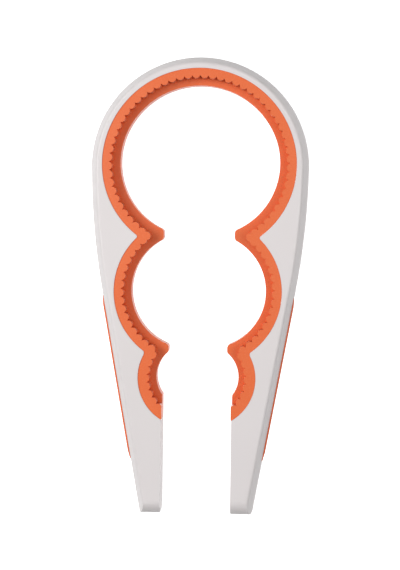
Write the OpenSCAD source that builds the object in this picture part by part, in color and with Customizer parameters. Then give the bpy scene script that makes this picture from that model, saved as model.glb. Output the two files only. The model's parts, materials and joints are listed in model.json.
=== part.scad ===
// U-shaped jar and bottle lid opener. It lies on its back: the frame is in the XY plane,
// the toothed front faces +Z, +Y points to the arch and the origin is the axis of the
// large seat on the back plane. All sizes are in millimetres.

/* [Lid seats] */
// Diameter across the tooth tips of the large seat
large_d = 85; // [70:0.5:103]
// Diameter across the tooth tips of the medium seats
medium_d = 62.5; // [52:0.5:76]
// Diameter across the tooth tips of the small seats
small_d = 36.5; // [30:0.5:44]
// Distance from the large seat's axis down to the medium seats
medium_y = 60.8; // [50:0.1:74]
// Distance from the large seat's axis down to the small seats
small_y = 102.9; // [85:0.1:125]
// How far the arcs of each arm stand outside their closed place
arm_spread = 4.8; // [0:0.1:8]
// How far the large seat's flanks are drawn in below the arch
flank_shift = 3.9; // [0:0.1:6]

/* [Toothed liner] */
// Distance from the frame's border in to the tooth tips
tooth_reach = 4.8; // [3.5:0.1:6]
// Extra reach of the teeth in the small seats
small_extra = 0.85; // [0:0.05:1.5]
// Spacing of the teeth along the seats
tooth_pitch = 4.06; // [3.4:0.01:6]
// Radius of one half-round tooth
tooth_r = 2.1; // [1.2:0.05:2.6]
// Height of the teeth above the ledge
tooth_h = 8.6; // [5:0.1:11]
// How far the lid ledge stands in from the tooth tips
ledge_step = 3.1; // [1.5:0.1:5]
// How far the liner lies below the frame's front and back faces
liner_sink = 0.4; // [0:0.1:1]
// Depth of the hidden flange that the shells trap
flange_depth = 1.6; // [0.8:0.1:2.2]
// Height of the hidden flange
flange_h = 3.2; // [2:0.1:5]

/* [Frame] */
// Thickness of the whole frame, front to back
frame_t = 18; // [15:0.5:24]
// Width of the white band outside the large and medium seats
frame_wall = 5.9; // [5:0.1:9]
// Distance from the large seat's axis to the ends of the handles
handle_end = 170; // [150:1:205]
// Free gap between the two handles
handle_gap = 34.3; // [28:0.1:41]
// Width of one handle at its end
handle_w = 10.6; // [9:0.1:16]
// How far the straight flanks stand outside the arch's own circle
flank_out = 4.3; // [2:0.1:8]
// Radius of the slow curve from the arch into the straight flanks
bow_r = 355; // [250:1:500]
// Radius that rounds the front and back of each handle end
end_r = 7; // [3:0.1:7.4]
// Width of the bevelled side, seen from the front
bevel_w = 2.4; // [1.5:0.1:3.2]
// Width of the rounded shoulder between bevel and front face
shoulder_w = 1.4; // [0.8:0.1:2]
// Height of the upright belt on each shell's side
belt_h = 3; // [2:0.1:4.5]
// Moulded wall of the hollow shells
shell_wall = 2.2; // [1.6:0.1:2.8]

/* [Side grips] */
// Height on each flank where a grip strip starts, below the large seat's axis
grip_top_y = 63.5; // [60:0.5:90]
// Height on each flank where a grip strip ends
grip_end_y = 143.7; // [120:0.5:155]
// Height of the visible strip
grip_h = 5; // [3:0.1:8]
// How far the strip stands out of the flank
grip_proud = 0.5; // [0.3:0.1:1.5]
// Depth that the strip is let in
grip_inlay = 1.6; // [1:0.1:1.8]
// Thickness of the strip's hidden foot
grip_foot = 1; // [0.6:0.1:1.2]
// How far the foot reaches past the strip all round
foot_over = 1.2; // [0.6:0.1:2]
// Length of the slope at each end of the strip
grip_ramp = 4.5; // [3:0.5:12]

/* [Shell pegs] */
// Diameter of the pegs that line up the two shells
peg_d = 2.4; // [1.8:0.1:2.6]
// Length of a peg inside its socket
peg_len = 3.2; // [2:0.1:5]
// Diameter of the bosses round the pegs and sockets of the arms
boss_d = 6.4; // [5:0.1:7]

/* [Flex joints] */
// Angle of each flex joint on the arch, from the +X axis
flex_angle = 45; // [40:1:60]
// Radius of the round joint face about the flex axis
flex_r = 8.5; // [8:0.1:11]

/* [Clearances] */
// Gap at the joint faces
flex_gap = 0.25; // [0.15:0.05:0.5]
// Gap round the liner, the grips and the pegs
fit_gap = 0.1; // [0.05:0.01:0.2]

/* [Hidden] */
$fn = 96;

white = "gainsboro";
orange = "coral";

far = 400;              // reaches past the whole opener
lap = 0.5;              // overlap between the layers of one moulding
past_middle = 1;        // openings run this far over the middle plane
flank_over = 0.1;       // the seat's flank arcs cross the arch's arc by standing this far out
arch_steps = 20;        // facets round one arm's share of the arch
bow_steps = 10;         // facets along the bow
joint_over = 5;         // angle by which an arm's outline runs past the flex joint
crown_over = 20;        // angle by which the crown's sweep runs past each flex joint
mid_z = frame_t / 2;    // height of the joint between front and rear shell
belt_in = 0.4;          // draft of the upright belt
shoulder_drop = 1.2 * shoulder_w;   // height of the rounded shoulder
hollow_step = 0.4;      // flat left between the shoulder and the hollow under it
hollow_top_y = 20;      // the hollow starts this far below the large seat's axis
peg_root = 1;           // length of a peg inside its own shell
socket_over = 0.5;      // how much deeper a socket is than its peg
handle_peg_up = 24;     // distance from a handle's end up to its peg
crown_peg_angles = [62, 90, 118];

// Radii of the frame's border, where white meets orange
border_l = large_d / 2 + tooth_reach;
border_m = medium_d / 2 + tooth_reach;
border_s = small_d / 2 + tooth_reach + small_extra;
// Angle on the large seat where its flank arcs begin, at the border and at the ledge
border_flank_a = 13;
ledge_flank_a = 26;
// Width of liner outside the line of tooth centres
band_t = tooth_reach - tooth_r;
// Ledge, measured in from the border
ledge_t = tooth_reach + ledge_step;
// How much less the ledge reaches in at the small seats
small_ledge_out = 0.2;
// Blunt ends of the ledge's points between two seats, as half distances across the opener
ledge_nose_upper = handle_gap / 2 + 0.25;
ledge_nose_lower = handle_gap / 2 - 2.75;
// How much the white frame's points between two seats are blunted
border_blunt_upper = 0.7;
border_blunt_lower = 0.4;
// The tooth on the upper point stands out, and its lower neighbours start lower by an angle
tip_out = 0.6;
tip_turn = 2;

// Outer outline: arch circle, bow arc and straight flank
arch_r = border_l + frame_wall;
end_x = handle_gap / 2 + handle_w;
top_inset = bevel_w + shoulder_w;
cavity_inset = top_inset + hollow_step;
body_w = arch_r / 4;        // inward width of the crown's swept band, cut back by the seat

// Taper that a flank through the handle's end corner needs to pass a circle of radius r
function taper_for(cx, cy, r) =
    atan2(handle_end - cy, end_x - cx) - acos(r / norm([end_x - cx, handle_end - cy]));
taper = max(
    taper_for(0, 0, arch_r + flank_out),
    taper_for(arm_spread, medium_y, border_m + frame_wall),
    taper_for(arm_spread, small_y, border_s + frame_wall)
);
out_n = [cos(taper), -sin(taper)];      // outward normal of the right flank
down_n = [-sin(taper), -cos(taper)];    // direction down the right flank
flank_dist = end_x * out_n[0] - handle_end * out_n[1];
bow_along = sqrt(pow(bow_r - arch_r, 2) - pow(bow_r - flank_dist, 2));
bow_c = (flank_dist - bow_r) * out_n + bow_along * down_n;
bow_a = atan2(-bow_c[1], -bow_c[0]);    // angle where the arch turns into the bow
flank_start = bow_c + bow_r * out_n;
flank_len = (handle_end + flank_start[1] + end_r) / cos(taper);

// Outline's half width at a distance y below the large seat's axis
function flank_x(y) = y > -flank_start[1]
    ? (flank_dist - y * sin(taper)) / cos(taper)
    : bow_c[0] + sqrt(pow(bow_r, 2) - pow(y + bow_c[1], 2));

// Flex axes in the middle of the arch's band
flex_rad = (arch_r + border_l - ledge_t) / 2;
flex_pos = flex_rad * [cos(flex_angle), sin(flex_angle)];

// Right-hand crossing of two circles on about the same axis, the first one above
function crossing(c1, r1, c2, r2) =
    let (d = norm(c2 - c1), u = (c2 - c1) / d, a = (r1 * r1 - r2 * r2 + d * d) / (2 * d))
    c1 + a * u + sqrt(r1 * r1 - a * a) * [-u[1], u[0]];

function flank_c(a) = (flank_shift + flank_over) * [cos(a), sin(a)];
medium_c = [arm_spread, -medium_y];
small_c = [arm_spread, -small_y];

// Pegs of one arm: in the upper point, the lower point and the handle
upper_point = crossing(flank_c(border_flank_a), border_l - flank_shift, medium_c, border_m);
lower_point = crossing(medium_c, border_m, small_c, border_s);
handle_peg_y = handle_end - handle_peg_up;
function mid_x(x_in, y) = (x_in + shell_wall + flank_x(y) - cavity_inset) / 2;
arm_pegs = [
    [mid_x(upper_point[0], -upper_point[1]), upper_point[1]],
    [mid_x(lower_point[0], -lower_point[1]), lower_point[1]],
    [mid_x(handle_gap / 2, handle_peg_y), -handle_peg_y]
];
// Pegs of the crown, in the middle of the wall outside the flange
peg_ring_r = (border_l + flange_depth + fit_gap + arch_r - belt_in) / 2;
crown_pegs = [for (a = crown_peg_angles) peg_ring_r * [cos(a), sin(a)]];

// Opening between the arms, for x > 0. t is taken off every radius, and a negative t
// moves the handles' inner sides out too.
module seat_void(t = 0, ts = 0, flank_a = border_flank_a, nose_up = 0, nose_low = 0) {
    intersection() {
        circle(r = border_l - t);
        polygon([[0, 0], far * [cos(flank_a), sin(flank_a)], [0, far], [-far, 0]]);
    }
    translate(flank_c(flank_a)) circle(r = border_l - flank_shift - t);
    translate(medium_c) circle(r = border_m - t);
    translate(small_c) circle(r = border_s - t - ts);
    translate([-far, -medium_y]) square([far + max(nose_up, past_middle), medium_y]);
    translate([-far, -small_y]) square([far + max(nose_low, past_middle), small_y - medium_y]);
    translate([-far, -small_y - far]) square([far + handle_gap / 2 + max(0, -t), far]);
}

module border_void(grow = 0) {
    seat_void(
        t = -grow,
        nose_up = upper_point[0] + border_blunt_upper,
        nose_low = lower_point[0] + border_blunt_lower
    );
}

module ledge_void() {
    seat_void(
        t = ledge_t, ts = small_extra - small_ledge_out, flank_a = ledge_flank_a,
        nose_up = ledge_nose_upper, nose_low = ledge_nose_lower
    );
}

// Right-hand outline from above the flex joint down past the handle's end, moved in by
// inset and closed along the middle plane
function outline(inset) = concat(
    [for (i = [0 : arch_steps])
        let (a_from = flex_angle + joint_over, a = a_from + (bow_a - a_from) * i / arch_steps)
        (arch_r - inset) * [cos(a), sin(a)]],
    [for (i = [1 : bow_steps])
        let (a = bow_a - (bow_a + taper) * i / bow_steps)
        bow_c + (bow_r - inset) * [cos(a), sin(a)]],
    [flank_start - inset * out_n + flank_len * down_n],
    [[0, flank_start[1] + flank_len * down_n[1]], [0, arch_r]]
);

// Area inside the right flank between two distances below the large seat's axis
module flank_area(inset, y_top, y_end) {
    intersection() {
        translate([0, -y_end]) square([far, y_end - y_top]);
        polygon(outline(inset));
    }
}

// The crown's share of the arch: a wedge with a round joint face at each end
module crown_area(grow = 0) {
    polygon([
        [0, 0],
        far * [cos(flex_angle), sin(flex_angle)],
        [0, 2 * far],
        far * [-cos(flex_angle), sin(flex_angle)]
    ]);
    for (side = [-1, 1]) {
        translate([side * flex_pos[0], flex_pos[1]]) circle(r = flex_r + grow);
    }
}

// Section of the front half: x is the distance in from the outline, y the height
function side_section(width) = concat(
    [[0, mid_z], [belt_in, mid_z + belt_h], [bevel_w, frame_t - shoulder_drop]],
    [for (s = [1 / 3, 2 / 3, 1])
        [bevel_w + shoulder_w * s, frame_t - shoulder_drop * pow(1 - s, 2)]],
    [[width, frame_t], [width, mid_z]]
);

// Solid between outlines stacked up the side section, for the front half of one arm
module arm_loft() {
    section = [for (p = side_section(body_w)) if (p[0] < body_w) p];
    n = len(outline(0));
    top = len(section) - 1;
    polyhedron(
        points = [for (level = section) for (p = outline(level[0])) [p[0], p[1], level[1]]],
        faces = concat(
            [[for (i = [n - 1 : -1 : 0]) i]],
            [for (k = [0 : top - 1]) for (i = [0 : n - 1])
                let (j = (i + 1) % n)
                [(k + 1) * n + j, (k + 1) * n + i, k * n + i, k * n + j]],
            [[for (i = [0 : n - 1]) top * n + i]]
        )
    );
}

// Outer form of one arm's front half, before the hollow is cut
module arm_front_form() {
    difference() {
        intersection() {
            arm_loft();
            rotate([90, 0, 90]) linear_extrude(height = far) end_profile();
        }
        linear_extrude(height = far, center = true) crown_area(flex_gap);
        linear_extrude(height = far, center = true) border_void();
    }
}

// Side view of a handle's end, drawn as y and z
module end_profile() {
    translate([-handle_end + end_r, 0]) square([handle_end + far, frame_t]);
    translate([-handle_end, end_r]) square([far, frame_t - 2 * end_r]);
    translate([-handle_end + end_r, end_r]) circle(r = end_r);
    translate([-handle_end + end_r, frame_t - end_r]) circle(r = end_r);
}

// Hollow of one arm's shells, with a web left beside every seat
module arm_cavity() {
    difference() {
        flank_area(cavity_inset, hollow_top_y, handle_end - end_r - shell_wall);
        border_void(shell_wall);
    }
}

// Groove for the liner's flange, grown by clear
module flange_area(clear = 0) {
    difference() {
        intersection() {
            border_void(flange_depth + clear);
            translate([-far, -small_y - border_s / 2 - clear]) square(2 * far);
        }
        border_void(-lap);
    }
}

// Space for one grip strip, drawn on the flank: x runs down the flank, y outwards
grip_s0 = (grip_top_y + flank_start[1]) / cos(taper);
grip_s1 = (grip_end_y + flank_start[1]) / cos(taper);
module on_flank() {
    translate(flank_start) rotate(-90 - taper) children();
}
module grip_plan(clear = 0) {
    y_in = -grip_inlay - grip_foot / 2;
    polygon([
        [grip_s0 - clear, y_in],
        [grip_s0 - clear, 0],
        [grip_s0 + grip_ramp, grip_proud],
        [grip_s1 - grip_ramp, grip_proud],
        [grip_s1 + clear, 0],
        [grip_s1 + clear, y_in]
    ]);
}
module grip_form(clear = 0) {
    edge = foot_over + clear;
    on_flank() {
        translate([0, 0, mid_z - grip_h / 2 - clear])
            linear_extrude(height = grip_h + 2 * clear) grip_plan(clear);
        translate([grip_s0 - edge, -grip_inlay - grip_foot - clear, mid_z - grip_h / 2 - edge])
            cube([grip_s1 - grip_s0 + 2 * edge, grip_foot + 2 * clear, grip_h + 2 * edge]);
    }
}

module pegs(points, d, z_low, z_high) {
    for (p = points) {
        translate([p[0], p[1], z_low]) cylinder(d = d, h = z_high - z_low);
    }
}

module groove() {
    translate([0, 0, mid_z - flange_h / 2 - fit_gap])
        linear_extrude(height = flange_h + 2 * fit_gap) flange_area(fit_gap);
}

module arm_front() {
    difference() {
        arm_front_form();
        difference() {
            linear_extrude(height = frame_t - shell_wall) arm_cavity();
            pegs(arm_pegs, boss_d, mid_z, frame_t);
        }
        groove();
        grip_form(fit_gap);
    }
    pegs(arm_pegs, peg_d, mid_z - peg_len, mid_z + peg_root);
}

module arm_rear() {
    difference() {
        translate([0, 0, frame_t]) mirror([0, 0, 1]) arm_front_form();
        difference() {
            translate([0, 0, shell_wall]) linear_extrude(height = frame_t) arm_cavity();
            pegs(arm_pegs, boss_d, 0, mid_z);
        }
        groove();
        grip_form(fit_gap);
        pegs(arm_pegs, peg_d + 2 * fit_gap, mid_z - peg_len - socket_over, frame_t);
    }
}

module crown_front_form() {
    intersection() {
        rotate(flex_angle - crown_over)
            rotate_extrude(angle = 180 - 2 * flex_angle + 2 * crown_over, $fn = 180)
            polygon([for (p = side_section(body_w)) [arch_r - p[0], p[1]]]);
        linear_extrude(height = far) difference() {
            crown_area();
            circle(r = border_l);
        }
    }
}

module crown_groove() {
    translate([0, 0, mid_z - flange_h / 2 - fit_gap])
        cylinder(r = border_l + flange_depth + fit_gap, h = flange_h + 2 * fit_gap);
}

// Half-round teeth along an arc, counted from its first end at an even spacing
module teeth_on_arc(centre, radius, a_from, a_to) {
    count = max(1, round(radius * (a_from - a_to) * PI / 180 / tooth_pitch));
    step = (a_from - a_to) / count;
    for (i = [0 : count - 1]) {
        a = a_from - (i + 0.5) * step;
        translate(centre + radius * [cos(a), sin(a)]) circle(r = tooth_r, $fn = 32);
    }
}

// Angle of a point seen from a centre
function angle_to(centre, point) = atan2(point[1] - centre[1], point[0] - centre[0]);

// Teeth of one arm, following the line of tooth centres
module arm_teeth() {
    c0 = flank_c(border_flank_a);
    r0 = border_l - flank_shift - band_t;
    r1 = border_m - band_t;
    r2 = border_s - band_t - small_extra;
    up = crossing(c0, r0, medium_c, r1);
    low = crossing(medium_c, r1, small_c, r2);
    run_out = [handle_gap / 2, small_c[1] - sqrt(r2 * r2 - pow(handle_gap / 2 - arm_spread, 2))];
    teeth_on_arc([0, 0], border_l - band_t, 90, border_flank_a);
    teeth_on_arc(c0, r0, border_flank_a, angle_to(c0, up) + tip_turn);
    translate(up + [tip_out, 0]) circle(r = tooth_r, $fn = 32);
    teeth_on_arc(medium_c, r1, angle_to(medium_c, up) - tip_turn, angle_to(medium_c, low));
    teeth_on_arc(small_c, r2, angle_to(small_c, low), angle_to(small_c, run_out));
}

// Toothed layer in plan: the flat band and its teeth
module tooth_layer_area() {
    difference() {
        border_void(-fit_gap);
        seat_void(t = band_t, ts = small_extra);
    }
    difference() {
        arm_teeth();
        translate([-far, -small_y - far]) square([far + handle_gap / 2, far]);
    }
}

module liner_layers() {
    translate([0, 0, frame_t - liner_sink - tooth_h])
        linear_extrude(height = tooth_h) intersection() {
            tooth_layer_area();
            children();
        }
    translate([0, 0, liner_sink])
        linear_extrude(height = frame_t - 2 * liner_sink - tooth_h) intersection() {
            difference() {
                border_void(-fit_gap);
                ledge_void();
            }
            children();
        }
    translate([0, 0, mid_z - flange_h / 2])
        linear_extrude(height = flange_h) intersection() {
            flange_area(0);
            children();
        }
}

module arm_side_area() {
    difference() {
        translate([0, -far]) square([far, 2 * far]);
        crown_area(flex_gap);
    }
}

module right_front_shell() { color(white) arm_front(); }
module right_rear_shell() { color(white) arm_rear(); }
module right_liner() { color(orange) liner_layers() arm_side_area(); }
module right_grip() { color(orange) grip_form(); }

module left_front_shell() { color(white) mirror([1, 0, 0]) arm_front(); }
module left_rear_shell() { color(white) mirror([1, 0, 0]) arm_rear(); }
module left_liner() { color(orange) mirror([1, 0, 0]) liner_layers() arm_side_area(); }
module left_grip() { color(orange) mirror([1, 0, 0]) grip_form(); }

module crown_front_shell() {
    color(white) {
        difference() {
            crown_front_form();
            crown_groove();
        }
        pegs(crown_pegs, peg_d, mid_z - peg_len, mid_z + peg_root);
    }
}

module crown_rear_shell() {
    color(white) difference() {
        translate([0, 0, frame_t]) mirror([0, 0, 1]) crown_front_form();
        crown_groove();
        pegs(crown_pegs, peg_d + 2 * fit_gap, mid_z - peg_len - socket_over, frame_t);
    }
}

module crown_ring(z, height, r_in, r_out) {
    translate([0, 0, z]) linear_extrude(height = height) intersection() {
        crown_area();
        difference() {
            circle(r = r_out);
            circle(r = r_in);
        }
    }
}

module crown_liner() {
    color(orange) {
        crown_ring(
            frame_t - liner_sink - tooth_h, tooth_h, border_l - band_t, border_l - fit_gap
        );
        crown_ring(
            liner_sink, frame_t - 2 * liner_sink - tooth_h, border_l - ledge_t, border_l - fit_gap
        );
        crown_ring(mid_z - flange_h / 2, flange_h, border_l - lap, border_l + flange_depth);
        translate([0, 0, frame_t - liner_sink - tooth_h])
            linear_extrude(height = tooth_h) intersection() {
                crown_area();
                union() {
                    teeth_on_arc([0, 0], border_l - band_t, 90, border_flank_a);
                    mirror([1, 0]) teeth_on_arc([0, 0], border_l - band_t, 90, border_flank_a);
                }
            }
    }
}

crown_front_shell();
crown_rear_shell();
crown_liner();
left_front_shell();
left_rear_shell();
left_liner();
left_grip();
right_front_shell();
right_rear_shell();
right_liner();
right_grip();
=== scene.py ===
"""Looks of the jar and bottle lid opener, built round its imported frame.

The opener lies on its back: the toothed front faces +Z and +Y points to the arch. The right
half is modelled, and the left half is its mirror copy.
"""

import json
import math

import bmesh
import bpy
from mathutils import Matrix, Vector


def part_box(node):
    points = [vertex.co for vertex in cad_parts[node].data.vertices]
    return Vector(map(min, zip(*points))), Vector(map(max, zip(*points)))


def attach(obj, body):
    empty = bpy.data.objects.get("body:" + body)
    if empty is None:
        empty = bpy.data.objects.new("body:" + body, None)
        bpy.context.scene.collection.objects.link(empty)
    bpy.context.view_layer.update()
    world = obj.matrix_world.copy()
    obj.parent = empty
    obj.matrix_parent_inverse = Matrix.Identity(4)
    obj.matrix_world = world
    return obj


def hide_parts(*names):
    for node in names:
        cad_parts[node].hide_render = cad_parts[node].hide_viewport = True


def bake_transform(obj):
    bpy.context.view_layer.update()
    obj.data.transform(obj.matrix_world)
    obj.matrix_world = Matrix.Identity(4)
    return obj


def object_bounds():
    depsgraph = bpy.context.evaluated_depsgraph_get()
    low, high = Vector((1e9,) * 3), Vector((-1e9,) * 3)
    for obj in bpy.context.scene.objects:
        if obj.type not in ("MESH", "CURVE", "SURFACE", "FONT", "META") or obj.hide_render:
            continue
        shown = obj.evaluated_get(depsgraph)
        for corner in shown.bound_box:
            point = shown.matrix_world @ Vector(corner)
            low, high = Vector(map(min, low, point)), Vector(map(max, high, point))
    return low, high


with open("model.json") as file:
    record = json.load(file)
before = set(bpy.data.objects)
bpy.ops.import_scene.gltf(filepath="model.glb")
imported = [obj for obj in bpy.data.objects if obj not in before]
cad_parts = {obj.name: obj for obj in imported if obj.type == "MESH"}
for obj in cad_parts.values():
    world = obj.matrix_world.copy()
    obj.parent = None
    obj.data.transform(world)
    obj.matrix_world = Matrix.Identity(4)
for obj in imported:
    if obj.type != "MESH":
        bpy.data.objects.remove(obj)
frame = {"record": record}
cad_low, cad_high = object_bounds()

MM = 0.001

# ---------------------------------------------------------------- sizes, in millimetres

# Read from the frame
crown_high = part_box("crown_rear_shell")[1] / MM
arm_low, arm_high = [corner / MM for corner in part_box("right_front_shell")]
liner_low, liner_high = [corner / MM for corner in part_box("right_liner")]
seat_at = {m["name"]: Vector(m["pos_m"]) / MM for m in frame["record"]["mounts"]}

ARCH_R = crown_high.y           # outer radius of the arch
MID_Z = crown_high.z            # height where the two shells meet
THICK = arm_high.z
HANDLE_END = arm_low.y
THROAT_X = arm_low.x            # half the gap between the handles
LINER_TOP = liner_high.z
LINER_LOW = liner_low.z

# Frame
FRAME_WALL = 5.9                # white band outside the seats
HANDLE_W = 10.6                 # width of a handle at its end
FLANK_OUT = 4.3                 # how far the straight flanks stand outside the arch's circle
BOW_R = 355                     # slow curve from the arch into the flank
BODY_W = 24                     # width of the swept blank, before the seats are cut
BELT_IN = 0.4                   # draft of the upright belt
BELT_H = 3
BELT_R = 0.8                    # softens the crease above the belt
SHOULDER_IN = 3.18              # where the bevelled side would meet the front face
SHOULDER_R = 1.1                # softens the shoulder there
END_R = 7                       # rounds the front and back of a handle's end
INNER_CORNER_R = 1              # rounds the corners of a handle's end
OUTER_CORNER_R = 2.2
EDGE_R = 0.3                    # moulded edges of the shells

# Lines round the seats
BORDER_R = ARCH_R - FRAME_WALL
SPREAD = 4.8                    # centres of the arm's seats, out from the middle plane
MEDIUM_R = 36.05                # border of the medium seats
SMALL_R = 23.9                  # border of the small seats
FLANK_SHIFT = 3.9               # how far the large seat's flanks are drawn in
BORDER_FLANK = 13               # angle where the flanks begin, at the border
LEDGE_FLANK = 26                # and at the ledge
BORDER_NOSES = (29.8, 25.8)     # blunt points of the white frame
BORDER_NOSE_R = 1
LEDGE_NOSES = (17.4, 14.4)      # blunt points of the ledge
LEDGE_NOSE_R = 2
SMALL_LEDGE_OUT = 0.2           # the ledge stands this much further out in the small seats

# Toothed liner
TOOTH_REACH = 4.8               # from the white border to the tips of the teeth
TOOTH_R = 2.1
TOOTH_PITCH = 4.06
SMALL_EXTRA = 0.85              # extra reach of the teeth in the small seats
BAND_W = TOOTH_REACH - TOOTH_R
TOOTH_H = 8.6                   # from the ledge up to the front of the teeth
LEDGE_REACH = 7.9               # from the border to the inner edge of the ledge
LEDGE_TOP = LINER_TOP - TOOTH_H
TIP_OUT = 0.6                   # the tooth on the upper point stands this far out
TIP_TURN = 2                    # degrees left free on both sides of that tooth
THROAT_OVER = 0.3               # how far the last teeth may stand into the throat
LINER_GAP = 0.05                # clearance round the toothed layer
LEDGE_GAP = 0.1                 # and round the ledge
LAP = 0.5                       # the teeth reach this far down into the ledge
RIM_R = 1.0                     # soft rim of the ledge
TOOTH_EDGE_R = 0.15             # soft top edge of the teeth
BAND_EDGE_R = 0.15              # and of their band, beside the white border

# Side grips
GRIP_FROM = -63.5               # Y of a strip's two ends
GRIP_TO = -143.7
GRIP_PROUD = 0.5                # how far it stands out of the handle
GRIP_H = 5
GRIP_INLAY = 1.6                # how deep it is let in
GRIP_RAMP = 4.5                 # length of the slope at each end
GRIP_EDGE_R = 0.35

# Making
FINE_CHORD = 1.0                # longest facet round an arc
FACET_MIN = 1.2                 # smallest and largest turn of a facet, in degrees
FACET_MAX = 12
FAR = 60                        # reach of a cutter far past what it cuts
PAST = 1                        # and just past a surface
NEAR = 0.01                     # places closer than this are taken as one
SHORTEST = 0.001                # shortest line that is drawn
TRACE_GAP = 0.002               # points of an outline closer than this are merged
CUT_GAP = 0.004                 # and so are points that a cut leaves this close
FLAT = 0.2                      # faces that turn by fewer degrees are joined
SHARP = 50                      # edges that turn by more degrees are softened
SMOOTH = 30                     # and those that turn by less are shaded smoothly
UPRIGHT = 0.5                   # a wall's normal rises by less than this
FACING = 0.05                   # a wall that looks at a place leans to it by more than this
ORIGIN = Vector((0, 0, 0))

# Joints
SIDES = {"left": -1, "right": 1}

# Table, light and camera
TABLE_W = 6000
TABLE_GAP = 0.2                 # the opener stands this far clear of the table
TABLE_GLOW = 0.95
SOFTBOXES = (                   # name, direction, distance, size, power in watts
    ("key_softbox", (-0.43, 0.12, 0.63), 780, 400, 3.15),
    ("fill_softbox", (0.33, 0.04, 0.63), 780, 400, 1.32),
)
TENT_LIGHT = 0.68               # strength overhead and at the sides
TENT_SHADE = 0.03               # and towards the arch and the handles
TENT_TURN = 0.32                # squared Y part of the direction where the shade is reached
LENS = 104.6                    # for a sensor 36 mm wide
EYE_X = 46.2
EYE_UP = 35                     # towards the arch, from the point aimed at
EYE_HEIGHT = 800                # above the front face
AIM_X = 1.2
AIM_UP = 0.95                   # towards the arch, from the opener's middle
ROLL = 0.75                     # degrees


def point_on(centre, radius, degrees):
    """Point of a circle at an angle from the +X axis."""
    angle = math.radians(degrees)
    return centre + radius * Vector((math.cos(angle), math.sin(angle), 0))


def taper_of_flank():
    """Angle of the straight flank, which touches a circle round the large seat."""
    end_x = THROAT_X + HANDLE_W
    reach = math.hypot(end_x, HANDLE_END)
    return math.atan2(-HANDLE_END, end_x) - math.acos((ARCH_R + FLANK_OUT) / reach)


TAPER = taper_of_flank()
OUTWARD = Vector((math.cos(TAPER), -math.sin(TAPER), 0))
DOWNWARD = Vector((-math.sin(TAPER), -math.cos(TAPER), 0))


def bow_centre():
    """Centre of the arc that leads from the arch into the straight flank."""
    across = ARCH_R + FLANK_OUT - BOW_R
    along = math.sqrt((BOW_R - ARCH_R) ** 2 - across**2)
    return across * OUTWARD + along * DOWNWARD


BOW_AT = bow_centre()
BOW_START = math.degrees(math.atan2(-BOW_AT.y, -BOW_AT.x))
FLANK_START = BOW_AT + BOW_R * OUTWARD


# ---------------------------------------------------------------- modelling steps


def select_nothing():
    """Leaves edit mode with every object deselected."""
    if bpy.context.object and bpy.context.object.mode == "EDIT":
        bpy.ops.object.mode_set(mode="OBJECT")
    bpy.ops.object.select_all(action="DESELECT")


def make_active(piece):
    select_nothing()
    bpy.context.view_layer.objects.active = piece
    piece.select_set(True)


def name_new(name):
    """Names the primitive just added and puts its place into its mesh."""
    piece = bpy.context.object
    piece.name = name
    piece.data.name = name
    bpy.ops.object.transform_apply(location=True, rotation=True, scale=True)
    return piece


def start_point(name, place):
    """New piece of a single vertex, left in edit mode to be traced from."""
    select_nothing()
    bpy.ops.mesh.primitive_plane_add(size=MM, location=Vector(place) * MM)
    piece = name_new(name)
    bpy.ops.object.mode_set(mode="EDIT")
    bpy.ops.mesh.select_mode(type="VERT")
    bpy.ops.mesh.select_all(action="SELECT")
    bpy.ops.mesh.merge(type="CENTER")
    return piece


def edited():
    return bmesh.from_edit_mesh(bpy.context.object.data)


def line_to(place):
    """Draws an edge from the selected vertex to a place."""
    here = next(v.co for v in edited().verts if v.select)
    step = Vector(place) * MM - here
    if step.length > SHORTEST * MM:
        bpy.ops.mesh.extrude_region_move(TRANSFORM_OT_translate={"value": step})


def turn(centre, radius, degrees, axis=(0, 0, 1)):
    """Spins the selection clockwise about an axis, as seen from the axis's tip."""
    facet = min(max(math.degrees(FINE_CHORD / radius), FACET_MIN), FACET_MAX)
    steps = max(2, math.ceil(abs(degrees) / facet))
    bpy.ops.mesh.spin(
        steps=steps, angle=math.radians(degrees), center=Vector(centre) * MM, axis=axis
    )


def trace(arcs):
    """Draws a chain of arcs, joined by straight edges: (centre, radius, first, last angle)."""
    z = next(v.co.z for v in edited().verts if v.select) / MM
    for centre, radius, first, last in arcs:
        lifted = Vector((centre.x, centre.y, z))
        line_to(point_on(lifted, radius, first))
        turn(lifted, radius, first - last)


def back_along(arcs):
    """The same chain of arcs, drawn from its other end."""
    return [(centre, radius, last, first) for centre, radius, first, last in reversed(arcs)]


def fill_outline():
    """Closes the traced chain with its last edge and a face."""
    bpy.ops.mesh.select_all(action="SELECT")
    bpy.ops.mesh.remove_doubles(threshold=TRACE_GAP * MM)
    pick("VERT", lambda middle, vert: len(vert.link_edges) == 1)
    bpy.ops.mesh.edge_face_add()
    bpy.ops.mesh.select_all(action="SELECT")
    bpy.ops.mesh.edge_face_add()


def raise_by(height):
    """Pulls the filled outline up into a solid."""
    bpy.ops.mesh.select_all(action="SELECT")
    bpy.ops.mesh.extrude_region_move(TRANSFORM_OT_translate={"value": (0, 0, height * MM)})
    face_outwards()


def face_outwards():
    bpy.ops.mesh.select_all(action="SELECT")
    bpy.ops.mesh.normals_make_consistent(inside=False)


def pick(kind, test):
    """In edit mode, selects the vertices, edges or faces that pass a test, and counts them."""
    bpy.ops.mesh.select_mode(type=kind)
    bpy.ops.mesh.select_all(action="DESELECT")
    shape = edited()
    shape.normal_update()
    elements = {"VERT": shape.verts, "EDGE": shape.edges, "FACE": shape.faces}[kind]
    for element in elements:
        corners = [element] if kind == "VERT" else element.verts
        middle = sum((v.co for v in corners), Vector()) / len(corners) / MM
        element.select_set(bool(test(middle, element)))
    shape.select_flush_mode()
    bmesh.update_edit_mesh(bpy.context.object.data)
    return sum(element.select for element in elements)


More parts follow.
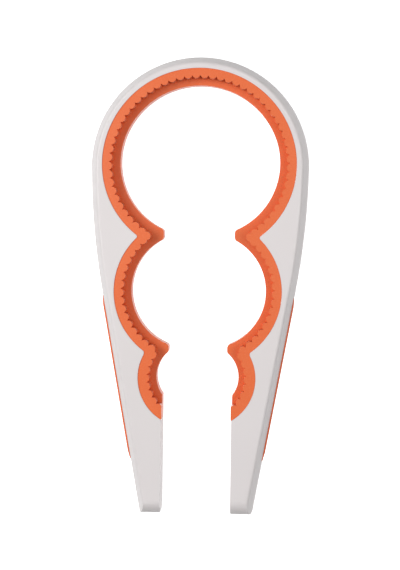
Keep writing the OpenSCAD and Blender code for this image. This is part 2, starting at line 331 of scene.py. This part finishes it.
def round_corner(corner, radius):
    """Rounds one corner of a flat outline."""
    pick("VERT", lambda middle, vert: (middle - corner).length < NEAR)
    bpy.ops.mesh.bevel(offset=radius * MM, segments=5, affect="VERTICES")


def soften(radius, segments, test):
    """Rounds the edges that pass a test."""
    if pick("EDGE", test):
        bpy.ops.mesh.bevel(
            offset=radius * MM, segments=segments, profile=0.5, affect="EDGES",
            clamp_overlap=True,
        )


def apply_modifier(piece, kind, **settings):
    """Gives a piece a modifier with its settings, and applies it."""
    make_active(piece)
    modifier = piece.modifiers.new(kind.lower(), kind)
    for name, value in settings.items():
        setattr(modifier, name, value)
    bpy.ops.object.modifier_apply(modifier=modifier.name)


def combine(piece, tool, operation):
    """Cuts piece with tool, or joins the two, and takes the tool away."""
    apply_modifier(piece, "BOOLEAN", object=tool, operation=operation, solver="EXACT")
    bpy.data.objects.remove(tool)


def clean_flats():
    """Joins faces that lie in one plane, and drops leftover vertices."""
    bpy.ops.mesh.select_all(action="SELECT")
    bpy.ops.mesh.remove_doubles(threshold=CUT_GAP * MM)
    bpy.ops.mesh.dissolve_limited(angle_limit=math.radians(FLAT))


def mirrored(piece, name):
    """Mirror copy of a piece across the middle plane, with its own mesh."""
    make_active(piece)
    bpy.ops.object.duplicate(linked=False)
    copy = bpy.context.object
    copy.scale.x = -1
    name_new_copy(copy, name)
    return copy


def name_new_copy(copy, name):
    """Applies a copy's mirroring and turns its faces outwards again."""
    copy.name = name
    copy.data.name = name
    bpy.ops.object.transform_apply(location=True, rotation=True, scale=True)
    bpy.ops.object.mode_set(mode="EDIT")
    face_outwards()
    bpy.ops.object.mode_set(mode="OBJECT")


# ---------------------------------------------------------------- lines round the seats


def reach_angle(centre, radius, x, nose_r):
    """Angle from the X axis where a seat's arc turns into the round of a blunt point."""
    return math.degrees(math.acos((x + nose_r - centre.x) / (radius + nose_r)))


def nose_arc(centre, radius, x, nose_r, side):
    """Round corner between a seat's arc and a blunt point, above (1) or below (-1) its seat."""
    angle = side * reach_angle(centre, radius, x, nose_r)
    corner = point_on(centre, radius + nose_r, angle)
    if side > 0:
        return (corner, nose_r, 180, 180 + angle)
    return (corner, nose_r, 180 + angle, 180)


def crossing_x(c1, r1, c2, r2):
    """X of the outer crossing of two circles, the first one above."""
    apart = (c2 - c1).length
    along = (r1 * r1 - r2 * r2 + apart * apart) / (2 * apart)
    down = (c2 - c1) / apart
    return c1.x + along * down.x - math.sqrt(r1 * r1 - along * along) * down.y


def seat_circles(inset, small_inset, flank):
    """The four circles of a line that runs inset inside the frame's border."""
    return [
        (ORIGIN, BORDER_R - inset),
        (point_on(ORIGIN, FLANK_SHIFT, flank), BORDER_R - FLANK_SHIFT - inset),
        (Vector((SPREAD, seat_at["medium_seat"].y, 0)), MEDIUM_R - inset),
        (Vector((SPREAD, seat_at["small_seat"].y, 0)), SMALL_R - small_inset),
    ]


def seat_line(circles, flank, noses, nose_r):
    """Arcs of that line from the arch's middle down to the throat, with blunt points."""
    (arch_c, arch_r), upper, medium, small = circles
    arcs = [(arch_c, arch_r, 90, flank)]
    start = flank
    points = ((upper, medium, noses[0]), (medium, small, noses[1]))
    for (c1, r1), (c2, r2), x in points:
        arcs.append((c1, r1, start, -reach_angle(c1, r1, x, nose_r)))
        if nose_r:
            arcs.append(nose_arc(c1, r1, x, nose_r, -1))
            arcs.append(nose_arc(c2, r2, x, nose_r, 1))
        start = reach_angle(c2, r2, x, nose_r)
    arcs.append((*small, start, -reach_angle(*small, THROAT_X, 0)))
    return arcs


def border_line(gap=0.0):
    """The border where white meets orange, or a line gap inside it."""
    circles = seat_circles(gap, gap, BORDER_FLANK)
    noses = [x - gap for x in BORDER_NOSES]
    return seat_line(circles, BORDER_FLANK, noses, BORDER_NOSE_R + gap)


def tooth_circles():
    """Circles that the centres of the teeth stand on."""
    return seat_circles(BAND_W, BAND_W + SMALL_EXTRA, BORDER_FLANK)


def ledge_line():
    """Inner edge of the ledge."""
    small_reach = LEDGE_REACH + SMALL_EXTRA - SMALL_LEDGE_OUT
    circles = seat_circles(LEDGE_REACH, small_reach, LEDGE_FLANK)
    return seat_line(circles, LEDGE_FLANK, LEDGE_NOSES, LEDGE_NOSE_R)


def faces_seat(middle, face):
    """True for a wall that looks in towards the nearest seat's axis."""
    nearest = min(seat_at.values(), key=lambda s: (s.xy - middle.xy).length)
    return face.normal.xy.dot((nearest.xy - middle.xy).normalized()) > FACING


def side_wall(edge):
    """The upright face beside an edge, or None."""
    return next((f for f in edge.link_faces if abs(f.normal.z) < UPRIGHT), None)


def turns_by(edge):
    """Degrees that the surface turns at an edge."""
    if len(edge.link_faces) != 2:
        return 0
    return math.degrees(edge.calc_face_angle(0))


def is_sharp(edge):
    return turns_by(edge) > SHARP


def is_level(edge):
    return abs(edge.verts[0].co.z - edge.verts[1].co.z) < NEAR * MM


def in_middle_plane(middle):
    return abs(middle.x) < NEAR


# ---------------------------------------------------------------- frame shells


def shell_blank():
    """Band with the frame's side profile, swept round the arch, the bow and the flank."""
    start_point("shell", (0, ARCH_R - BODY_W, MID_Z))
    line_to((0, ARCH_R, MID_Z))
    line_to((0, ARCH_R - BELT_IN, MID_Z + BELT_H))
    line_to((0, ARCH_R - SHOULDER_IN, THICK))
    line_to((0, ARCH_R - BODY_W, THICK))
    fill_outline()
    round_corner(Vector((0, ARCH_R - BELT_IN, MID_Z + BELT_H)), BELT_R)
    round_corner(Vector((0, ARCH_R - SHOULDER_IN, THICK)), SHOULDER_R)
    bpy.ops.mesh.select_all(action="SELECT")
    turn(ORIGIN, ARCH_R, 90 - BOW_START)
    turn(BOW_AT, BOW_R, BOW_START + math.degrees(TAPER))
    length = (FLANK_START.y - HANDLE_END) / math.cos(TAPER) + END_R
    bpy.ops.mesh.extrude_region_move(TRANSFORM_OT_translate={"value": DOWNWARD * length * MM})
    face_outwards()
    return bpy.context.object


def end_corners():
    """Rounds at the two corners of a handle's end, as arcs seen from the front."""
    inner = Vector((THROAT_X + INNER_CORNER_R, HANDLE_END + INNER_CORNER_R, 0))
    outer_y = HANDLE_END + OUTER_CORNER_R
    out = FLANK_START.dot(OUTWARD) - OUTER_CORNER_R
    outer = Vector(((out - outer_y * OUTWARD.y) / OUTWARD.x, outer_y, 0))
    return [
        (inner, INNER_CORNER_R, 180, 270),
        (outer, OUTER_CORNER_R, 270, 360 - math.degrees(TAPER)),
    ]


def plan_cutter():
    """Solid that fills the seats and the throat, and reaches round the handle's end."""
    cutter = start_point("plan_cutter", (-FAR, BORDER_R, -FAR))
    trace(border_line())
    trace(end_corners())
    line_to((2 * FAR, HANDLE_END, -FAR))
    line_to((2 * FAR, HANDLE_END - FAR, -FAR))
    line_to((-FAR, HANDLE_END - FAR, -FAR))
    fill_outline()
    raise_by(2 * FAR)
    return cutter


def end_cutter():
    """Rounds the front edge of a handle's end."""
    from_y = HANDLE_END + END_R
    cutter = start_point("end_cutter", (-PAST, from_y, THICK + PAST))
    line_to((-PAST, from_y, THICK))
    turn((-PAST, from_y, THICK - END_R), END_R, -90, axis=(1, 0, 0))
    line_to((-PAST, HANDLE_END - PAST, THICK - END_R))
    line_to((-PAST, HANDLE_END - PAST, THICK + PAST))
    fill_outline()
    bpy.ops.mesh.extrude_region_move(TRANSFORM_OT_translate={"value": (FAR * MM, 0, 0)})
    face_outwards()
    return cutter


def on_flank(down, out):
    """Point a distance down the straight flank and out from it, seen from the front."""
    return FLANK_START + down * DOWNWARD + out * OUTWARD


def grip_block(name, gap):
    """Strip with sloping ends, let in to the flank, and grown by a gap all round."""
    first = (FLANK_START.y - GRIP_FROM) / math.cos(TAPER) - gap
    last = (FLANK_START.y - GRIP_TO) / math.cos(TAPER) + gap
    low = Vector((0, 0, MID_Z - GRIP_H / 2 - gap))
    plan = [
        (first, -GRIP_INLAY - gap), (first, 0), (first + GRIP_RAMP, GRIP_PROUD),
        (last - GRIP_RAMP, GRIP_PROUD), (last, 0), (last, -GRIP_INLAY - gap),
    ]
    block = start_point(name, on_flank(*plan[0]) + low)
    for down, out in plan[1:]:
        line_to(on_flank(down, out) + low)
    fill_outline()
    raise_by(GRIP_H + 2 * gap)
    return block


def front_shell():
    """Right half of the front shell, from the middle of the arch to the handle's end."""
    shell = shell_blank()
    combine(shell, plan_cutter(), "DIFFERENCE")
    combine(shell, end_cutter(), "DIFFERENCE")
    bpy.ops.object.mode_set(mode="EDIT")
    clean_flats()
    soften(EDGE_R, 3, is_moulded_edge)
    combine(shell, grip_block("grip_pocket", LINER_GAP), "DIFFERENCE")
    return shell


def is_moulded_edge(middle, edge):
    """Sharp edges of the front face, apart from the middle of the arch."""
    return is_sharp(edge) and not in_middle_plane(middle)


def rear_shell(front, name):
    """Rear half of a side: the front half turned over about the plane between them."""
    make_active(front)
    bpy.ops.object.duplicate(linked=False)
    copy = bpy.context.object
    copy.scale.z = -1
    copy.location.z = 2 * MID_Z * MM
    name_new_copy(copy, name)
    return copy


# ---------------------------------------------------------------- toothed liner


def liner_layer(name, inner, gap, low, high):
    """Layer between the frame's border and an inner line."""
    outer = border_line(gap)
    first = point_on(*inner[0][:3])
    layer = start_point(name, (first.x, first.y, low))
    trace(inner)
    trace(back_along(outer))
    fill_outline()
    raise_by(high - low)
    return layer


def ledge():
    """Smooth ledge behind the teeth, which a lid's edge rests on."""
    layer = liner_layer("ledge", ledge_line(), LEDGE_GAP, LINER_LOW, LEDGE_TOP)
    soften(RIM_R, 4, is_rim)
    return layer


def is_rim(middle, edge):
    """Front and back edges of the ledge's inner wall."""
    wall = side_wall(edge)
    return is_sharp(edge) and bool(wall) and faces_seat(middle, wall) and is_level(edge)


def tooth_layer():
    """Flat band with the row of half-round teeth, and soft edges along its top."""
    layer = liner_layer("tooth_layer", scallops(), LINER_GAP, LEDGE_TOP - LAP, LINER_TOP)
    soften(BAND_EDGE_R, 2, is_band_border)
    soften(TOOTH_EDGE_R, 3, is_tooth_edge)
    return layer


def is_tooth_edge(middle, edge):
    """Top edges along the teeth."""
    wall = side_wall(edge)
    return middle.z > LINER_TOP - NEAR and bool(wall) and faces_seat(middle, wall)


def is_band_border(middle, edge):
    """Front edge of the band beside the white border."""
    wall = side_wall(edge)
    on_top = middle.z > LINER_TOP - NEAR
    return on_top and bool(wall) and not faces_seat(middle, wall) and not in_middle_plane(middle)


def evenly(circle, first, last):
    """Tooth centres along an arc, at an even spacing close to the pitch."""
    centre, radius = circle
    count = max(1, round(math.radians(first - last) * radius / TOOTH_PITCH))
    step = (first - last) / count
    return [point_on(centre, radius, first - (i + 0.5) * step) for i in range(count)]


def tooth_centres():
    """Centres of the half's teeth, from the arch down to the handle."""
    arch, upper, medium, small = tooth_circles()
    up = crossing_x(*upper, *medium)
    low = crossing_x(*medium, *small)
    upper_end, medium_start = (reach_angle(*circle, up, 0) for circle in (upper, medium))
    medium_end, small_start = (reach_angle(*circle, low, 0) for circle in (medium, small))
    small_end = reach_angle(*small, THROAT_X, 0) + math.degrees(TOOTH_PITCH / small[1])
    tip = point_on(*medium, medium_start) + Vector((TIP_OUT, 0, 0))
    return [
        *evenly(arch, 90, BORDER_FLANK),
        *evenly(upper, BORDER_FLANK, TIP_TURN - upper_end),
        tip,
        *evenly(medium, medium_start - TIP_TURN, -medium_end),
        *evenly(small, small_start, -small_end),
    ]


def crease(here, there):
    """Where two neighbouring teeth meet, on the side of the seat."""
    step = there - here
    deep = math.sqrt(max(TOOTH_R**2 - (step.length / 2) ** 2, 0))
    return (here + there) / 2 + deep * Vector((step.y, -step.x, 0)).normalized()


def angle_seen(centre, place):
    """Angle of a place from the +X axis, seen from a centre, from 0 to 360 degrees."""
    return math.degrees(math.atan2(place.y - centre.y, place.x - centre.x)) % 360


def scallops():
    """The row of teeth as a chain of arcs, from the arch's middle down to the throat."""
    centres = tooth_centres()
    before = Vector((-centres[0].x, centres[0].y, 0))
    after = Vector((THROAT_X, centres[-1].y - TOOTH_R, 0))
    arcs = []
    for last, centre, following in zip([before, *centres], centres, [*centres[1:], after]):
        first = angle_seen(centre, crease(last, centre))
        turned = (angle_seen(centre, crease(centre, following)) - first) % 360
        arcs.append((centre, TOOTH_R, first, first + turned))
    return arcs


def throat_cutter():
    """Keeps the last teeth from standing far into the throat."""
    select_nothing()
    bpy.ops.mesh.primitive_cube_add(
        size=MM, location=Vector((THROAT_X - THROAT_OVER - FAR / 2, HANDLE_END, MID_Z)) * MM,
        scale=(FAR, 2 * (seat_at["small_seat"].y - HANDLE_END), FAR),
    )
    return name_new("throat_cutter")


def half_liner():
    """Right half of the liner: one moulding of ledge, band and teeth."""
    liner = tooth_layer()
    combine(liner, throat_cutter(), "DIFFERENCE")
    combine(liner, ledge(), "UNION")
    bpy.ops.object.mode_set(mode="EDIT")
    clean_flats()
    bpy.ops.object.mode_set(mode="OBJECT")
    return liner


def half_grip():
    """Right grip strip, with softened edges."""
    grip = grip_block("grip", 0)
    soften(GRIP_EDGE_R, 3, lambda middle, edge: is_sharp(edge))
    bpy.ops.object.mode_set(mode="OBJECT")
    return grip


# ---------------------------------------------------------------- materials


def linear(hex_colour):
    """Linear RGBA of an sRGB hex colour."""
    channels = [int(hex_colour[i : i + 2], 16) / 255 for i in (1, 3, 5)]
    return (*(c / 12.92 if c <= 0.04045 else ((c + 0.055) / 1.055) ** 2.4 for c in channels), 1)


def add_node(tree, kind, inputs=None, **settings):
    """Adds a node, sets it, and fills its inputs with values or with other nodes' outputs."""
    made = tree.nodes.new("ShaderNode" + kind)
    for name, value in settings.items():
        setattr(made, name, value)
    for socket, value in (inputs or {}).items():
        if isinstance(value, bpy.types.NodeSocket):
            tree.links.new(value, made.inputs[socket])
        else:
            made.inputs[socket].default_value = value
    return made


def new_material(name):
    """Empty material, with its node tree and the object's own coordinates."""
    material = bpy.data.materials.new(name)
    material.use_nodes = True
    tree = material.node_tree
    tree.nodes.clear()
    place = add_node(tree, "TexCoord").outputs["Object"]
    return material, tree, place


def per_mm(size):
    """Texture scale that gives features of a size in millimetres."""
    return 1 / (size * MM)


def finish_material(tree, shader):
    add_node(tree, "OutputMaterial", {"Surface": shader.outputs["BSDF"]})


def moulded_polypropylene():
    """Injection-moulded polypropylene, satin: a soft, even white with a fine spark-eroded
    grain that breaks up the highlights, and a slight drift of tone along the flow."""
    material, tree, place = new_material("moulded_polypropylene_satin")
    drift = add_node(tree, "TexNoise", {"Vector": place, "Scale": per_mm(45), "Detail": 2.0})
    tone = add_node(
        tree, "Mix",
        {"Factor": drift.outputs["Fac"], "A": linear("#E4DEDD"), "B": linear("#EBE5E5")},
        data_type="RGBA",
    )
    grain = add_node(
        tree, "TexNoise", {"Vector": place, "Scale": per_mm(0.55), "Detail": 3.0, "Roughness": 0.6}
    )
    gloss = add_node(
        tree, "MapRange", {"Value": grain.outputs["Fac"], "To Min": 0.3, "To Max": 0.42}
    )
    relief = add_node(
        tree, "Bump", {"Height": grain.outputs["Fac"], "Strength": 0.12, "Distance": 0.03 * MM}
    )
    shader = add_node(
        tree, "BsdfPrincipled",
        {
            "Base Color": tone.outputs["Result"], "Roughness": gloss.outputs["Result"],
            "Normal": relief.outputs["Normal"], "IOR": 1.49,
        },
    )
    finish_material(tree, shader)
    return material


def moulded_rubber():
    """Moulded thermoplastic rubber, satin: saturated orange with a pebbled, eroded grain and
    fine lighter specks, and a soft sheen that the grain breaks up."""
    material, tree, place = new_material("moulded_thermoplastic_rubber_satin")
    grain = add_node(
        tree, "TexNoise", {"Vector": place, "Scale": per_mm(0.8), "Detail": 4.0, "Roughness": 0.65}
    )
    cloud = add_node(tree, "TexNoise", {"Vector": place, "Scale": per_mm(14), "Detail": 2.0})
    base = add_node(
        tree, "Mix",
        {"Factor": cloud.outputs["Fac"], "A": linear("#EF6A2E"), "B": linear("#F4733A")},
        data_type="RGBA",
    )
    speck = add_node(
        tree, "MapRange", {"Value": grain.outputs["Fac"], "From Min": 0.5, "From Max": 0.72}
    )
    colour = add_node(
        tree, "Mix",
        {"Factor": speck.outputs["Result"], "A": base.outputs["Result"], "B": linear("#F67D46")},
        data_type="RGBA",
    )
    gloss = add_node(
        tree, "MapRange", {"Value": grain.outputs["Fac"], "To Min": 0.28, "To Max": 0.4}
    )
    relief = add_node(
        tree, "Bump", {"Height": grain.outputs["Fac"], "Strength": 0.2, "Distance": 0.06 * MM}
    )
    shader = add_node(
        tree, "BsdfPrincipled",
        {
            "Base Color": colour.outputs["Result"], "Roughness": gloss.outputs["Result"],
            "Normal": relief.outputs["Normal"], "IOR": 1.5,
        },
    )
    finish_material(tree, shader)
    return material


def pale_floor_material():
    """Backlit acrylic sheet: it glows evenly, so that the table stays pale."""
    material, tree, _ = new_material("backlit_acrylic_table")
    shader = add_node(
        tree, "BsdfPrincipled",
        {
            "Base Color": linear("#F4F4F4"), "Roughness": 0.6,
            "Emission Color": linear("#FFFFFF"), "Emission Strength": TABLE_GLOW,
        },
    )
    finish_material(tree, shader)
    return material


# ---------------------------------------------------------------- assembly


def finish_piece(piece, material):
    """Smooth shading over the round stretches, flat faces kept flat, and the finish."""
    make_active(piece)
    bpy.ops.object.shade_smooth_by_angle(angle=math.radians(SMOOTH))
    apply_modifier(piece, "WEIGHTED_NORMAL", keep_sharp=True, weight=60)
    piece.data.materials.clear()
    piece.data.materials.append(material)


def bend_at_flex(piece):
    """Puts the piece's placement into its mesh."""
    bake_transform(piece)


def on_side(piece, side, name):
    """The right piece itself, or a mirrored copy for the left, under its own name."""
    half = piece if side == "right" else mirrored(piece, name)
    half.name = half.data.name = name
    return half


def make_halves(piece, part, material):
    """Right piece and its mirrored left copy, each standing for its two CAD nodes."""
    for side in SIDES:
        half = on_side(piece, side, f"{side}_half_{part}")
        finish_piece(half, material)
        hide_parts("crown_" + part, f"{side}_{part}")
        bend_at_flex(half)


def make_grips(material):
    """Grip strips of both handles."""
    grip = half_grip()
    for side in SIDES:
        strip = on_side(grip, side, side + "_grip_strip")
        finish_piece(strip, material)
        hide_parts(side + "_grip")
        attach(strip, side + "_arm")


def build_opener():
    """All pieces, in the order front shell, rear shell, liner, grips."""
    plastic = moulded_polypropylene()
    rubber = moulded_rubber()
    front = front_shell()
    rear = rear_shell(front, "rear")
    make_halves(front, "front_shell", plastic)
    make_halves(rear, "rear_shell", plastic)
    make_halves(half_liner(), "liner", rubber)
    make_grips(rubber)


# ---------------------------------------------------------------- studio


def make_floor():
    """Plain pale table just under the opener, which adds no bounced light to it."""
    select_nothing()
    height = cad_low.z - TABLE_GAP * MM
    bpy.ops.mesh.primitive_plane_add(size=TABLE_W * MM, location=(0, 0, height))
    floor = name_new("floor")
    floor.data.materials.append(pale_floor_material())
    floor.visible_diffuse = False


def softbox(name, place, aim, size, power):
    """Square area light that looks at a point."""
    light = bpy.data.lights.new(name, "AREA")
    light.size = size
    light.energy = power
    holder = bpy.data.objects.new(name, light)
    holder.location = place
    holder.rotation_euler = (Vector(aim) - Vector(place)).to_track_quat("-Z", "Y").to_euler()
    bpy.context.scene.collection.objects.link(holder)


def make_lights():
    """Two softboxes over the opener, the left one stronger, inside a pale tent."""
    middle = (cad_low + cad_high) / 2
    for name, towards, distance, size, power in SOFTBOXES:
        place = middle + Vector(towards).normalized() * distance * MM
        softbox(name, place, middle, size * MM, power)
    bpy.context.scene.world = light_tent()


def light_tent():
    """White tent, darker towards its two ends, at the arch and at the handles."""
    world = bpy.data.worlds.new("light_tent")
    world.use_nodes = True
    tree = world.node_tree
    tree.nodes.clear()
    direction = add_node(tree, "TexCoord").outputs["Generated"]
    along = add_node(tree, "SeparateXYZ", {"Vector": direction}).outputs["Y"]
    slope = add_node(tree, "Math", {0: along, 1: along}, operation="MULTIPLY").outputs["Value"]
    glow = add_node(
        tree, "MapRange",
        {"Value": slope, "From Max": TENT_TURN, "To Min": TENT_LIGHT, "To Max": TENT_SHADE},
    )
    tent = add_node(
        tree, "Background", {"Color": linear("#FFFFFF"), "Strength": glow.outputs["Result"]}
    )
    add_node(tree, "OutputWorld", {"Surface": tent.outputs["Background"]})
    return world


def make_camera():
    """Long lens above the front face, a little to the right of the middle."""
    camera = bpy.data.cameras.new("camera")
    camera.lens = LENS
    holder = bpy.data.objects.new("camera", camera)
    middle = (cad_low + cad_high) / 2
    y = middle.y / MM + AIM_UP
    eye = Vector((EYE_X, y + EYE_UP, THICK + EYE_HEIGHT)) * MM
    aim = Vector((AIM_X, y, THICK)) * MM
    back = (eye - aim).normalized()
    right = Vector((0, 1, 0)).cross(back).normalized()
    look = Matrix((right, back.cross(right), back)).transposed()
    holder.matrix_world = Matrix.Translation(eye) @ (
        look @ Matrix.Rotation(math.radians(ROLL), 3, "Z")
    ).to_4x4()
    bpy.context.scene.collection.objects.link(holder)
    bpy.context.scene.camera = holder


make_camera()
build_opener()
make_floor()
make_lights()
bpy.context.scene.view_settings.view_transform = "Standard"
